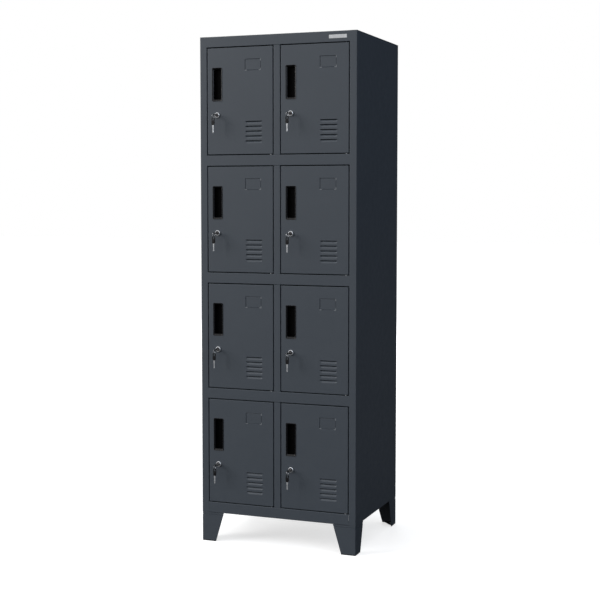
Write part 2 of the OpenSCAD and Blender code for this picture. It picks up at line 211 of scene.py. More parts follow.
class Shape:
    """Points and faces in millimetres. Points in the same place are one point."""

    def __init__(self):
        self.points, self.faces, self.known = [], [], {}

    def add(self, point):
        key = tuple(round(c, 3) for c in point)
        if key not in self.known:
            self.known[key] = len(self.points)
            self.points.append(tuple(point))
        return self.known[key]

    def face(self, *points):
        ids = []
        for i in map(self.add, points):
            if i not in ids:
                ids.append(i)
        if len(ids) > 2:
            self.faces.append(ids)


def skin(shape, rows, wrap=False, skip=()):
    """Fills between each row of points and the next."""
    for a, b in zip(rows, rows[1:]):
        count = len(a)
        for i in range(count if wrap else count - 1):
            j = (i + 1) % count
            if i not in skip:
                shape.face(a[i], a[j], b[j], b[i])


def flat(shape, loops, place):
    """Fills the plane outline loops[0], less the holes in the other loops. place puts a 2D point in space."""
    points = [p for loop in loops for p in loop]
    for triangle in tessellate_polygon([[Vector((*p, 0)) for p in loop] for loop in loops]):
        shape.face(*[place(*points[i]) for i in triangle])


def rounded(path, radius, steps=FOLD_STEPS):
    """An open 2D path with an arc at each bend."""
    points = [tuple(path[0])]
    for before, here, after in zip(path, path[1:], path[2:]):
        here = Vector(here)
        u, v = (Vector(before) - here).normalized(), (Vector(after) - here).normalized()
        half = u.angle(v) / 2
        centre = here + (u + v).normalized() * radius / math.sin(half)
        start = here + u * radius / math.tan(half) - centre
        end = here + v * radius / math.tan(half) - centre
        points += [tuple(centre + start.slerp(end, k / steps) * radius) for k in range(steps + 1)]
    return points + [tuple(path[-1])]


def outline(half_w, half_h, radius, x=0.0, z=0.0, steps=6):
    """A rounded rectangle about (x, z), anticlockwise."""
    points = []
    for quarter, (sx, sz) in enumerate(((1, 1), (-1, 1), (-1, -1), (1, -1))):
        for k in range(steps + 1):
            turn = math.pi / 2 * (quarter + k / steps)
            points.append((x + sx * (half_w - radius) + radius * math.cos(turn),
                           z + sz * (half_h - radius) + radius * math.sin(turn)))
    return points


def circle(radius, x=0.0, z=0.0, steps=32):
    """A circle about (x, z), anticlockwise."""
    turns = [2 * math.pi * k / steps for k in range(steps)]
    return [(x + radius * math.cos(t), z + radius * math.sin(t)) for t in turns]


def loft(shape, sections, caps=(True, True)):
    """A solid through outlines in X and Z, each at its own depth: sections is a list of (y, outline)."""
    rows = [[(x, y, z) for x, z in points] for y, points in sections]
    skin(shape, rows, wrap=True)
    for row, capped in zip((rows[0], rows[-1]), caps):
        if capped:
            shape.face(*row)


def block(shape, low, high):
    """A box between two corners."""
    x0, y0, z0 = low
    x1, y1, z1 = high
    corners = [(x0, z0), (x1, z0), (x1, z1), (x0, z1)]
    loft(shape, [(y0, corners), (y1, corners)])


def with_modifiers(mesh, settings):
    """The mesh after the modifiers in settings, a list of (type, {property: value})."""
    holder = bpy.data.objects.new("holder", mesh)
    bpy.context.scene.collection.objects.link(holder)
    for kind, values in settings:
        modifier = holder.modifiers.new(kind, kind)
        for name, value in values.items():
            setattr(modifier, name, value)
    done = bpy.data.meshes.new_from_object(holder.evaluated_get(bpy.context.evaluated_depsgraph_get()))
    bpy.data.objects.remove(holder)
    return done


def finished(shape, thickness=0.0, bevel=0.0):
    """The shape as a mesh in metres.

    A sheet gets its thickness behind its faces, and a solid its rounded edges.
    """
    mesh = bpy.data.meshes.new("shape")
    mesh.from_pydata(shape.points, [], shape.faces)
    work = bmesh.new()
    work.from_mesh(mesh)
    bmesh.ops.recalc_face_normals(work, faces=work.faces)
    work.to_mesh(mesh)
    work.free()
    settings = []
    if thickness:
        settings.append(("SOLIDIFY", {"thickness": thickness, "offset": -1.0, "use_even_offset": True}))
    if bevel:
        settings.append(("BEVEL", {"width": bevel, "segments": 2, "limit_method": "ANGLE",
                                   "angle_limit": SHARP_ANGLE}))
    if settings:
        mesh = with_modifiers(mesh, settings)
    mesh.transform(Matrix.Scale(MM, 4))
    mesh.shade_smooth()
    mesh.set_sharp_from_angle(angle=SHARP_ANGLE)
    return mesh


def piece(name, mesh, material, body, nodes=(), at=(0, 0, 0), turn=None):
    """One visible piece: the mesh at a place in millimetres, riding on a body and standing for CAD nodes."""
    mesh = mesh.copy()
    mesh.name = name
    mesh.transform(Matrix.Translation(Vector(at) * MM) @ (turn or Matrix.Identity(4)))
    if turn and turn.determinant() < 0:
        mesh.flip_normals()
    mesh.materials.clear()
    mesh.materials.append(material)
    made = bpy.data.objects.new(name, mesh)
    bpy.context.scene.collection.objects.link(made)
    made.modifiers.new("normals", "WEIGHTED_NORMAL").keep_sharp = True
    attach(made, body)
    if nodes:
        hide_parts(*nodes)
    return made


# ---------------------------------------------------------------- materials


def procedural(name, dark, light, roughness, tint_scale, rough_scale, bump_scale, bump_depth,
               stretch=(1, 1, 1), **constants):
    """A Principled material whose colour, roughness and bump come from noise in the object's own space.

    dark and light are linear colours, and roughness is a (low, high) pair.
    Each scale is in features per metre.
    """
    material = bpy.data.materials.new(name)
    material.use_nodes = True
    nodes, links = material.node_tree.nodes, material.node_tree.links
    shader = nodes["Principled BSDF"]
    for socket, value in constants.items():
        shader.inputs[socket.replace("_", " ")].default_value = value
    place = nodes.new("ShaderNodeTexCoord")
    mapping = nodes.new("ShaderNodeMapping")
    mapping.inputs["Scale"].default_value = stretch
    links.new(place.outputs["Object"], mapping.inputs["Vector"])

    def noise(scale, detail):
        made = nodes.new("ShaderNodeTexNoise")
        made.inputs["Scale"].default_value = scale
        made.inputs["Detail"].default_value = detail
        links.new(mapping.outputs["Vector"], made.inputs["Vector"])
        return made.outputs["Fac"]

    ramp = nodes.new("ShaderNodeValToRGB")
    ramp.color_ramp.elements[0].position = 0.3
    ramp.color_ramp.elements[0].color = (*dark, 1)
    ramp.color_ramp.elements[1].position = 0.7
    ramp.color_ramp.elements[1].color = (*light, 1)
    links.new(noise(tint_scale, 6), ramp.inputs["Fac"])
    links.new(ramp.outputs["Color"], shader.inputs["Base Color"])

    spread = nodes.new("ShaderNodeMapRange")
    spread.inputs["From Min"].default_value = 0.3
    spread.inputs["From Max"].default_value = 0.7
    spread.inputs["To Min"].default_value = roughness[0]
    spread.inputs["To Max"].default_value = roughness[1]
    links.new(noise(rough_scale, 4), spread.inputs["Value"])
    links.new(spread.outputs["Result"], shader.inputs["Roughness"])

    bump = nodes.new("ShaderNodeBump")
    bump.inputs["Strength"].default_value = 0.6
    bump.inputs["Distance"].default_value = bump_depth
    links.new(noise(bump_scale, 2), bump.inputs["Height"])
    links.new(bump.outputs["Normal"], shader.inputs["Normal"])
    return material


PAINT = procedural("powder_coat", (0.0445, 0.0545, 0.0680), (0.0470, 0.0572, 0.0710), (0.46, 0.54),
                   9.0, 40.0, 800.0, 0.00005, IOR=1.45)
PLASTIC = procedural("moulded_plastic", (0.004, 0.004, 0.005), (0.006, 0.006, 0.007), (0.24, 0.34),
                     60.0, 300.0, 2500.0, 0.00002, IOR=1.46, Specular_IOR_Level=0.35)
# The pocket's plastic is a darker, less shiny copy of the handle plastic: painted shade for the shadow deep
# in the finger recess
RECESS_SHADE_PLASTIC = procedural("plastic_with_painted_recess_shade", (0.0006, 0.0006, 0.0008), (0.0014, 0.0014, 0.0017), (0.5, 0.65),
                          60.0, 300.0, 2500.0, 0.00002, IOR=1.46, Specular_IOR_Level=0.04)
BOW_PLASTIC = procedural("key_bow_plastic", (0.003, 0.003, 0.004), (0.006, 0.006, 0.007), (0.34, 0.48),
                         90.0, 400.0, 3000.0, 0.00002, IOR=1.46, Specular_IOR_Level=0.35)
# Partly diffuse, so that the plating stays bright on the lower doors, where it mirrors the dark floor
PLATING_METALLIC = 0.65
CHROME = procedural("polished_chrome", (0.70, 0.71, 0.73), (0.80, 0.81, 0.83), (0.12, 0.24),
                    120.0, 500.0, 3000.0, 0.00001, Metallic=PLATING_METALLIC)
STEEL = procedural("brushed_steel", (0.42, 0.43, 0.45), (0.52, 0.53, 0.55), (0.25, 0.42),
                   90.0, 500.0, 2200.0, 0.00002, stretch=(1, 1, 0.15), Metallic=1.0)
# The plug's face is chrome like the ring; this darker steel is painted shade for the shadow that the key's
# bow casts on it
PLUG_SHADE_STEEL = procedural("steel_with_painted_plug_shade", (0.08, 0.08, 0.085), (0.12, 0.12, 0.125), (0.28, 0.42),
                        110.0, 500.0, 2600.0, 0.00002, Metallic=1.0)
# A lighter copy of the body paint for the card tabs: painted highlight for the light that the raised tabs
# catch from above
TAB_HIGHLIGHT_PAINT = procedural("paint_with_painted_tab_highlight", (0.150, 0.163, 0.180), (0.210, 0.223, 0.240), (0.36, 0.48),
                       160.0, 300.0, 1500.0, 0.00003, IOR=1.45)
BADGE = procedural("blank_badge", (0.52, 0.53, 0.54), (0.60, 0.61, 0.62), (0.30, 0.42),
                   70.0, 400.0, 2000.0, 0.00002, Metallic=0.3)


# ---------------------------------------------------------------- body


def along_z(x, y, z):
    """Places a path in X and Y, carried along Z."""
    return x, y, z


def extruded(shape, path, lo, hi, place):
    """A folded sheet: the 2D path carried from lo to hi. place(u, v, w) puts a point in space."""
    skin(shape, [[place(u, v, w) for u, v in path] for w in (lo, hi)])


def side_panel(with_lips):
    """The left side: one sheet folded round to the front stile, and at the openings back into a return."""
    shape = Shape()
    outside = [(-HALF_W + FLANGE_W, BACK), (-HALF_W, BACK), (-HALF_W, FRONT)]
    plain = rounded(outside + [(STILE_X - FOLD, FRONT)], FOLD) + [(STILE_X, FRONT)]
    opening = outside + [(STILE_X, FRONT), (STILE_X, FRONT + RETURN_D)]
    if with_lips:
        opening.append((STILE_X + LIP_W, FRONT + RETURN_D))
    opening = rounded(opening, FOLD)
    height = LEG_TOP
    for low, high in reversed(OPENINGS):
        extruded(shape, plain, height, low, along_z)
        extruded(shape, opening, low, high, along_z)
        height = high
    extruded(shape, plain, height, ROOF - SHEET, along_z)
    return shape


def channel(shape, half_w, low, high):
    """A rail of the front frame: its face, and returns along its top and bottom edges."""
    path = rounded([(FRONT + RETURN_D, high), (FRONT, high), (FRONT, low), (FRONT + RETURN_D, low)], FOLD)
    extruded(shape, path, -half_w, half_w, lambda y, z, x: (x, y, z))


def centre_stile(shape, low, high):
    """A stile between two openings, with the latch lip of the right-hand one."""
    path = rounded([(-CENTRE_HALF, FRONT + RETURN_D), (-CENTRE_HALF, FRONT), (CENTRE_HALF, FRONT),
                    (CENTRE_HALF, FRONT + RETURN_D), (CENTRE_HALF + LIP_W, FRONT + RETURN_D)], FOLD)
    extruded(shape, path, low, high, along_z)


left_side = finished(side_panel(True), SHEET)
right_side = finished(side_panel(False), SHEET)
mirror_x = Matrix.Scale(-1, 4, (1, 0, 0))
piece("side_skin_left", left_side, PAINT, "cabinet", ["left_side_panel"])
piece("side_skin_right", right_side, PAINT, "cabinet", ["right_side_panel"], turn=mirror_x)

front_grid = Shape()
for (low, high), below in zip(OPENINGS, OPENINGS[1:] + [None]):
    centre_stile(front_grid, low + SEAM, high - SEAM)
    if below:
        channel(front_grid, -STILE_X, below[1], low)
piece("front_frame_skin", finished(front_grid, SHEET), PAINT, "cabinet", ["front_frame"])

roof = Shape()
roof_path = [(FRONT + RETURN_D, HEADER_BOTTOM), (FRONT, HEADER_BOTTOM), (FRONT, ROOF), (BACK, ROOF)]
roof_side = [(FRONT, ROOF), (FRONT + FOLD, ROOF), (BACK, ROOF)]
extruded(roof, rounded(roof_path, FOLD), STILE_X, -STILE_X, lambda y, z, x: (x, y, z))
for x0, x1 in ((-HALF_W, STILE_X), (-STILE_X, HALF_W)):
    extruded(roof, roof_side, x0, x1, lambda y, z, x: (x, y, z))
piece("roof_skin", finished(roof, SHEET), PAINT, "cabinet", ["top_panel"])

base = Shape()
channel(base, -STILE_X - SEAM, LEG_TOP, BASE_TOP)
inner_half = HALF_W - SHEET
floor_path = [(INNER_BACK - FLANGE_W, LEG_TOP), (INNER_BACK, LEG_TOP), (INNER_BACK, BASE_TOP),
              (FRONT + RETURN_D, BASE_TOP)]
extruded(base, rounded(floor_path, FOLD), inner_half, -inner_half, lambda y, z, x: (x, y, z))
for sx in (-1, 1):
    edge_path = [(sx * (inner_half - FLANGE_W), LEG_TOP), (sx * inner_half, LEG_TOP),
                 (sx * inner_half, BASE_TOP - SHEET)]
    near, far = sorted((FRONT + RETURN_D, INNER_BACK - SHEET), reverse=sx < 0)
    extruded(base, rounded(edge_path, FOLD), near, far, lambda x, z, y: (x, y, z))
piece("base_skin", finished(base, SHEET), PAINT, "cabinet", ["base_panel"])


# ---------------------------------------------------------------- legs


def leg_row(width, inset, z):
    """An angle's outline at height z, measured in from the body's corner."""
    return [(u, v, z) for u, v in rounded([(width, inset), (inset, inset), (inset, width)], LEG_FOLD)]


def leg_width(z):
    """The leg's width at height z, straight from the foot to the body."""
    return LEG_FOOT_W + (LEG_TOP_W - LEG_FOOT_W) * z / LEG_TOP


def leg():
    """A folded leg at the corner of the body, with a groove at the step below the body."""
    shape = Shape()
    step = LEG_TOP - LEG_STEP
    profile = [(CAP_H, 0.0)] + [(step + rise, inset) for rise, inset in LEG_GROOVE]
    profile.append((LEG_TOP - LEG_TOP_GAP, LEG_TOP_INSET))
    skin(shape, [leg_row(leg_width(z), inset, z) for z, inset in profile])
    return shape


def foot_cap():
    """The black plastic edge that the foot stands on."""
    shape = Shape()
    profile = [(0.0, 0.8), (0.3, 0.3), (0.8, 0.0), (CAP_H, 0.0)]
    skin(shape, [leg_row(leg_width(z), inset, z) for z, inset in profile])
    return shape


def leg_plates():
    """The plate under the body that takes the bolts, and the foot plate."""
    shape = Shape()
    near, foot_w, top_w = 2 * LEG_T, LEG_FOOT_W - 2 * LEG_T, LEG_TOP_W - 2 * LEG_T
    foot = [(LEG_T, LEG_T), (foot_w, LEG_T), (LEG_T, foot_w)]
    top = [(near, near), (top_w, near), (top_w, FLANGE_W), (FLANGE_W, top_w), (near, top_w)]
    for plate, z in ((foot, FOOT_PLATE_Z), (top, LEG_TOP - LEG_T)):
        rows = [[(u, v, w) for u, v in plate] for w in (z, z + LEG_T)]
        skin(shape, rows, wrap=True)
        shape.face(*rows[0])
        shape.face(*rows[1])
    return shape


leg_mesh = finished(leg(), LEG_T)
cap_mesh = finished(foot_cap(), CAP_T)
plate_mesh = finished(leg_plates(), bevel=0.3)
for sx, x_name in ((1, "left"), (-1, "right")):
    for sy, y_name in ((1, "front"), (-1, "back")):
        corner = (-sx * HALF_W, FRONT if sy > 0 else BACK, 0)
        turn = Matrix.Diagonal((sx, sy, 1, 1))
        piece(f"leg_{y_name}_{x_name}", leg_mesh, PAINT, "cabinet", ["legs"], corner, turn)
        piece(f"leg_plates_{y_name}_{x_name}", plate_mesh, PAINT, "cabinet", (), corner, turn)
        piece(f"foot_cap_{y_name}_{x_name}", cap_mesh, PLASTIC, "cabinet", (), corner, turn)


# ---------------------------------------------------------------- doors


def louvre(shape, top):
    """One pressed louvre, open along its top edge. Returns its outline, for the hole in the face."""
    columns, rows = 20, 6
    half = LOUVRE_L / 2
    grid = []
    for r in range(rows + 1):
        t = r / rows
        line = []
        for c in range(columns + 1):
            x = -half * math.cos(math.pi * c / columns)
            end = min(1.0, (half - abs(x)) / LOUVRE_END)
            bulge = math.sqrt(1 - (1 - end) ** 2)
            drop = LOUVRE_SLIT + (LOUVRE_H - LOUVRE_SLIT) * t
            line.append((LOUVRE_X + half + x, LOUVRE_D * bulge * (1 - t) ** 2, top - drop * bulge))
        grid.append(line)
    skin(shape, grid)
    return [(x, z) for x, _, z in grid[-1]]


def pan_ring(out, depth, steps=FOLD_STEPS):
    """The door's outline pushed out from its flat face by out, or in where out is negative."""
    points = []
    for quarter, (sx, sz) in enumerate(((1, 1), (-1, 1), (-1, -1), (1, -1))):
        x = FOLD if sx < 0 else DOOR_W - FOLD
        z = FOLD if sz < 0 else DOOR_H - FOLD
        for k in range(steps + 1):
            turn = math.pi / 2 * (quarter + k / steps)
            if out > 0:
                points.append((x + out * math.cos(turn), depth, z + out * math.sin(turn)))
            else:
                points.append((x + sx * out, depth, z + sz * out))
    return points


def door():
    """A door's folded pan, with its card plate, its louvres, and holes for the cup, lock and hinge pins."""
    shape = Shape()
    quarter = [math.pi / 2 * k / FOLD_STEPS for k in range(FOLD_STEPS + 1)]
    near = [pan_ring(FOLD * math.sin(a), FOLD * (1 - math.cos(a))) for a in quarter]
    far = [pan_ring(FOLD * math.cos(a), DOOR_D - FOLD * (1 - math.sin(a))) for a in quarter]
    skin(shape, near, wrap=True)
    corner = FOLD_STEPS + 1
    ends = (corner - 1, 3 * corner - 1)
    skin(shape, [near[-1], far[0]], wrap=True, skip=ends)
    skin(shape, far + [pan_ring(FOLD - DOOR_FLANGE, DOOR_D)], wrap=True)
    for z in (0, DOOR_H):
        wall = [(FOLD, FOLD), (DOOR_W - FOLD, FOLD),
                (DOOR_W - FOLD, DOOR_D - FOLD), (FOLD, DOOR_D - FOLD)]
        hole = circle(HINGE_HOLE_R, HINGE_X, HINGE_Y, 16)
        flat(shape, [wall, hole], lambda x, y, z=z: (x, y, z))
    border = [(FOLD, FOLD), (DOOR_W - FOLD, FOLD),
              (DOOR_W - FOLD, DOOR_H - FOLD), (FOLD, DOOR_H - FOLD)]
    card = (CARD_X + CARD_W / 2, CARD_TOP - CARD_H / 2)
    card_rows = []
    for inset, depth in CARD_GROOVE:
        rim = outline(CARD_W / 2 - inset, CARD_H / 2 - inset, CARD_CORNER_R, *card, steps=3)
        card_rows.append([(x, depth, z) for x, z in rim])
    skin(shape, card_rows, wrap=True)
    flat(shape, [[(x, z) for x, _, z in card_rows[-1]]], lambda x, z: (x, CARD_D, z))
    holes = [outline(*CUP_HOLE, CUP_X, CUP_Z, 3), circle(LOCK_HOLE_R, LOCK_X, LOCK_Z, 24),
             [(x, z) for x, _, z in card_rows[0]]]
    holes += [louvre(shape, LOUVRE_TOP - i * LOUVRE_PITCH) for i in range(LOUVRES)]
    flat(shape, [border] + holes, lambda x, z: (x, 0, z))
    return shape


def card_tabs():
    """The corner tabs that hold a card: lower left, lower right and upper right."""
    shape = Shape()
    low, high = CARD_TOP - CARD_H, CARD_TOP
    right = CARD_X + CARD_W
    for x0, x1, z0, z1 in ((CARD_X, CARD_X + TAB_L, low, low + TAB_T),
                           (right - TAB_L, right, low, low + TAB_T),
                           (right - TAB_T, right, low + TAB_T + 0.2, low + TAB_L),
                           (right - TAB_T, right, high - TAB_L, high)):
        block(shape, (x0, -TAB_OUT, z0), (x1, CARD_D - SHEET, z1))
    return shape


def cup_rim():
    """The moulded flange round the finger recess. Its face falls away towards the recess."""
    shape = Shape()
    rim_w, rim_h = (cup_high.x - cup_low.x) / 2, (cup_high.z - cup_low.z) / 2
    face = cup_low.y
    sections = [
        (0.0, outline(*CUP_HOLE)),
        (0.0, outline(rim_w, rim_h, CUP_CORNER_R)),
        (face + CUP_EDGE, outline(rim_w, rim_h, CUP_CORNER_R)),
        *[(face + fall, outline(rim_w - inset, rim_h - inset, r)) for inset, fall, r in CUP_SLOPE],
        (CUP_LIP_Y, outline(*CUP_RECESS)),
    ]
    loft(shape, sections, caps=(False, False))
    return shape


def cup_recess():
    """The pocket behind the flange: its inside, its back, and the hooks that hold it in the door."""
    shape = Shape()
    back, floor_y = cup_high.y, cup_high.y - CUP_BACK_T
    wall_w, wall_h, _ = CUP_WALL
    in_w, in_h, in_r = CUP_RECESS
    chamfer = CUP_BACK_CHAMFER
    sections = [
        (back, outline(wall_w - chamfer, wall_h - chamfer, chamfer)),
        (back - chamfer, outline(*CUP_WALL)),
        (CUP_LIP_Y, outline(*CUP_WALL)),
        (CUP_LIP_Y, outline(*CUP_RECESS)),
        (floor_y - 2.0, outline(in_w - 0.6, in_h - 0.6, in_r)),
        (floor_y - 0.5, outline(in_w - 1.2, in_h - 1.2, in_r)),
        (floor_y, outline(in_w - 2.8, in_h - 2.8, in_r)),
    ]
    loft(shape, sections)
    for sx in (-1, 1):
        for z in (-HOOK_Z, HOOK_Z):
            root, face = sx * (wall_w - 0.5), sx * (wall_w + 0.2)
            low, high = z - HOOK_HALF_L, z + HOOK_HALF_L
            wedge = [(root, low), (face, low), (face, high), (root, high)]
            hook = [(x + (sx * HOOK_OUT if abs(x) > wall_w else 0), z) for x, z in wedge]
            loft(shape, [(SHEET, hook), (SHEET + 1, hook), (SHEET + HOOK_L, wedge)])
    return shape


# ---------------------------------------------------------------- locks and keys, about the lock's axis


def lock_barrel():
    """The face ring and the threaded body, with the bore that the plug turns in."""
    shape = Shape()
    bore = PLUG_R + RUN_GAP
    seat = PLUG_HEAD_R + SEAT_GAP
    seat_y = -PLUG_OUT + PLUG_HEAD_T + SEAT_GAP
    profile = [(seat, seat_y), (seat, -BEZEL_OUT + 0.3), (seat + 0.3, -BEZEL_OUT),
               (BEZEL_R - 1.6, -BEZEL_OUT), (BEZEL_R - 0.6, -BEZEL_OUT + 0.7), (BEZEL_R, -BEZEL_OUT + 1.9),
               (BEZEL_R, -0.5), (BEZEL_R - 0.4, 0.0), (BARREL_R - THREAD_DEPTH, 0.0)]
    y = SHEET + NUT_T / 4
    while y + THREAD_PITCH < BARREL_L - 0.6:
        profile += [(BARREL_R - THREAD_DEPTH, y), (BARREL_R, y + THREAD_PITCH / 2)]
        y += THREAD_PITCH
    profile += [(BARREL_R - THREAD_DEPTH, BARREL_L - 0.5), (BARREL_R - 0.8, BARREL_L), (bore, BARREL_L)]
    profile += [(bore, seat_y), profile[0]]
    loft(shape, [(y, circle(r)) for r, y in profile], caps=(False, False))
    return shape


def lock_nut():
    """The hexagonal nut behind the door's face, with its corners turned down."""
    shape = Shape()
    across = NUT_FLATS / 2
    corner_r = across / math.cos(math.pi / 6)
    count = 48

    def ring(limit):
        points = []
        for k in range(count):
            turn = 2 * math.pi * k / count
            flat_r = across / math.cos(turn % (math.pi / 3) - math.pi / 6)
            r = min(flat_r, limit)
            points.append((r * math.cos(turn), r * math.sin(turn)))
        return points

    bore = circle(BARREL_R + RUN_GAP, steps=count)
    y0, y1 = SHEET, SHEET + NUT_T
    loft(shape, [(y0, bore), (y0, ring(across)), (y0 + 0.5, ring(corner_r)), (y1 - 0.5, ring(corner_r)),
                 (y1, ring(across)), (y1, bore), (y0, bore)], caps=(False, False))
    return shape


def lock_plug():
    """The plug's head with its keyway, and its shank."""
    shape = Shape()
    slot = outline(*KEYWAY, steps=3)
    face_y = -PLUG_OUT
    head = PLUG_HEAD_R
    chamfer = 0.35
    count = 32
    flat(shape, [circle(head - chamfer, steps=count), slot], lambda x, z: (x, face_y, z))
    loft(shape, [(face_y, slot), (KEYWAY_D, slot)], caps=(False, True))
    cam_y = BARREL_L + CAM_T
    loft(shape, [(face_y, circle(head - chamfer)), (face_y + chamfer, circle(head)),
                 (face_y + PLUG_HEAD_T, circle(head)), (face_y + PLUG_HEAD_T, circle(PLUG_R)),
                 (cam_y, circle(PLUG_R))], caps=(False, True))
    return shape


def lock_cam():
    """The cam plate, hanging at rest, and its screw."""
    shape = Shape()
    y0 = BARREL_L + CAM_T
    reach = LOCK_Z - cam_low.z
    half = CAM_W / 2

    def plate(inset):
        r = half - inset
        upper = [(r * math.cos(a), r * math.sin(a)) for a in [math.pi * k / 12 for k in range(13)]]
        lower = [(-x, -reach + half - z) for x, z in upper]
        return upper + lower

    loft(shape, [(y0, plate(0.3)), (y0 + 0.3, plate(0)),
                 (y0 + CAM_T - 0.3, plate(0)), (y0 + CAM_T, plate(0.3))])
    top = cam_high.y
    loft(shape, [(y0 + CAM_T - SCREW_PROUD, circle(SCREW_R)), (top - 0.8, circle(SCREW_R)),
                 (top - 0.2, circle(SCREW_R - 0.6)), (top - 0.2, circle(SCREW_R - 1.4)),
                 (top - 0.9, circle(SCREW_R - 1.6))])
    return shape


def key_bow():
    """A key's bow in its own space.

    Its ring end is at the origin, its shank is towards +Y, and its width is along X.
    """
    shape = Shape()
    middle = BOW_L / 2
    slot_at = BOW_BAR + BOW_SLOT[1]
    edge = 0.5
    half_t = BOW_T / 2

    def rim(inset):
        return outline(BOW_W / 2 - inset, middle - inset, BOW_R - inset, 0, middle)

    def slot(inset):
        w, h, r = BOW_SLOT
        return outline(w + inset, h + inset, r + inset, 0, slot_at)

    levels = [(-half_t, edge), (-half_t + 0.15, edge * 0.4), (-half_t + edge, 0),
              (half_t - edge, 0), (half_t - 0.15, edge * 0.4), (half_t, edge)]
    for ring in (rim, slot):
        skin(shape, [[(x, y, t) for x, y in ring(inset)] for t, inset in levels], wrap=True)
    for t in (-half_t, half_t):
        flat(shape, [rim(edge), slot(edge)], lambda x, y, t=t: (x, y, t))
    for sign in (-1, 1):
        t = sign * half_t
        pad = []
        for inset, rise in ((0, -0.2), (0, 0.3), (0.2, 0.5)):
            edge_line = outline(PAD_HALF_W - inset, PAD_HALF_L - inset, PAD_R, 0, PAD_AT, 4)
            pad.append([(x, y, t + sign * rise) for x, y in edge_line])
        skin(shape, pad, wrap=True)
        shape.face(*pad[-1])
    return shape


def key_blade(length):
    """The blade with its cut edges and a groove along each face, in the bow's space."""
    shape = Shape()
    start = BOW_L - 4.0
    half_w, half_t = BLADE_W / 2, BLADE_T / 2
    rows = [(start, 0.0), (BOW_L + 6.2, 0.0)]
    step = (length - BOW_L - TIP_L) / len(CUTS)
    for i, cut in enumerate(CUTS):
        at = BOW_L + CUT_START + i * step
        rows += [(at, cut), (at + step * 0.45, cut)]
    rows += [(length - back, cut) for back, cut in BLADE_TIP]
    grid = []
    for y, cut in rows:
        w = half_w - cut
        g = min(GROOVE_W / 2, w * 0.6)
        section = [(-w, -half_t + 0.2), (-w + 0.2, -half_t), (-g, -half_t), (-g * 0.7, -half_t + GROOVE_D),
                   (g * 0.7, -half_t + GROOVE_D), (g, -half_t), (w - 0.2, -half_t), (w, -half_t + 0.2)]
        section += [(-x, -t) for x, t in section]
        grid.append([(x, y, t) for x, t in section])
    skin(shape, grid, wrap=True)
    shape.face(*grid[0])
    shape.face(*grid[-1])
    return shape


def split_ring():
    """Two turns of wire side by side in the YZ plane, crossing over at the top."""
    shape = Shape()
    turns, per_turn, sides = 2, 40, 8
    rows = []
    total = turns * per_turn
    for k in range(total + 1):
        angle = math.pi / 2 + 2 * math.pi * k / per_turn
        slide = (k / total - 0.5) * 2
        x = WIRE_R * max(-1.0, min(1.0, slide * 6))
        row = []
        for s in range(sides):
            turn = 2 * math.pi * s / sides
            r = RING_R + WIRE_R * math.cos(turn)
            row.append((x + WIRE_R * math.sin(turn), r * math.cos(angle), r * math.sin(angle)))
        rows.append(row)
    skin(shape, rows, wrap=True)
    shape.face(*rows[0])
    shape.face(*rows[-1])
    return shape


door_mesh = finished(door(), SHEET)
tab_mesh = finished(card_tabs(), bevel=0.3)
rim_mesh = finished(cup_rim())
recess_mesh = finished(cup_recess())
barrel_mesh = finished(lock_barrel())
nut_mesh = finished(lock_nut())
plug_mesh = finished(lock_plug())
cam_mesh = finished(lock_cam())
bow_mesh = finished(key_bow())
blade_mesh = finished(key_blade(key_high.y - key_low.y))
ring_at = Vector((LOCK_X, (spare_low.y + spare_high.y) / 2, spare_high.z - RING_R - 2 * WIRE_R))
spare_length = BOW_L + SPARE_BLADE_L
spare_blade_mesh = finished(key_blade(spare_length))
ring_mesh = finished(split_ring())
hang = Matrix.Rotation(-math.pi / 2, 4, "X")

for tag in TAGS:
    low, high = node_box(f"door_{tag}")
    corner = Vector((low.x, FRONT, low.z))
    cup = corner + Vector((CUP_X, 0, CUP_Z))
    lock = corner + Vector((LOCK_X, 0, LOCK_Z))
    key_at = corner + Vector((LOCK_X, key_low.y, LOCK_Z))
    spare_at = corner + Vector((LOCK_X, ring_at.y, spare_low.z + spare_length))
    body = f"door_{tag}"
    piece(f"door_skin_{tag}", door_mesh, PAINT, body, [f"door_{tag}"], corner)
    piece(f"card_tabs_{tag}", tab_mesh, TAB_HIGHLIGHT_PAINT, body, at=corner)
    piece(f"cup_rim_{tag}", rim_mesh, PLASTIC, body, [f"handle_cup_{tag}"], cup)
    piece(f"cup_recess_{tag}", recess_mesh, RECESS_SHADE_PLASTIC, body, at=cup)
    piece(f"barrel_{tag}", barrel_mesh, CHROME, body, [f"lock_barrel_{tag}"], lock)
    piece(f"nut_{tag}", nut_mesh, STEEL, body, at=lock)
    piece(f"plug_{tag}", plug_mesh, PLUG_SHADE_STEEL, f"lock_{tag}", [f"lock_cam_{tag}"], lock)
    piece(f"cam_{tag}", cam_mesh, STEEL, f"lock_{tag}", at=lock)
    piece(f"bow_{tag}", bow_mesh, BOW_PLASTIC, f"key_{tag}", [f"key_{tag}"], key_at)
    piece(f"blade_{tag}", blade_mesh, CHROME, f"key_{tag}", at=key_at)
    piece(f"ring_{tag}", ring_mesh, STEEL, f"spare_{tag}", [f"spare_key_{tag}"], corner + ring_at)
    piece(f"spare_bow_{tag}", bow_mesh, BOW_PLASTIC, f"spare_{tag}", at=spare_at, turn=hang)
    piece(f"spare_blade_{tag}", spare_blade_mesh, CHROME, f"spare_{tag}", at=spare_at, turn=hang)


def hinge_pin():
    """A pin that stands on the frame: its shoulder fills the gap, and its thinner end enters the door."""
    shape = Shape()
    shoulder, tip = DOOR_GAP - RUN_GAP, DOOR_GAP + SHEET + PIN_L
    profile = [(0.0, 0.0), (PIN_SHOULDER_R, 0.0), (PIN_SHOULDER_R, shoulder - 0.3),
               (PIN_SHOULDER_R - 0.3, shoulder), (PIN_R, shoulder),
               (PIN_R, tip - 0.6), (PIN_R - 0.6, tip), (0.0, tip)]
    skin(shape, [[(u, v, z) for u, v in circle(r, steps=24)] for r, z in profile], wrap=True)
    return shape


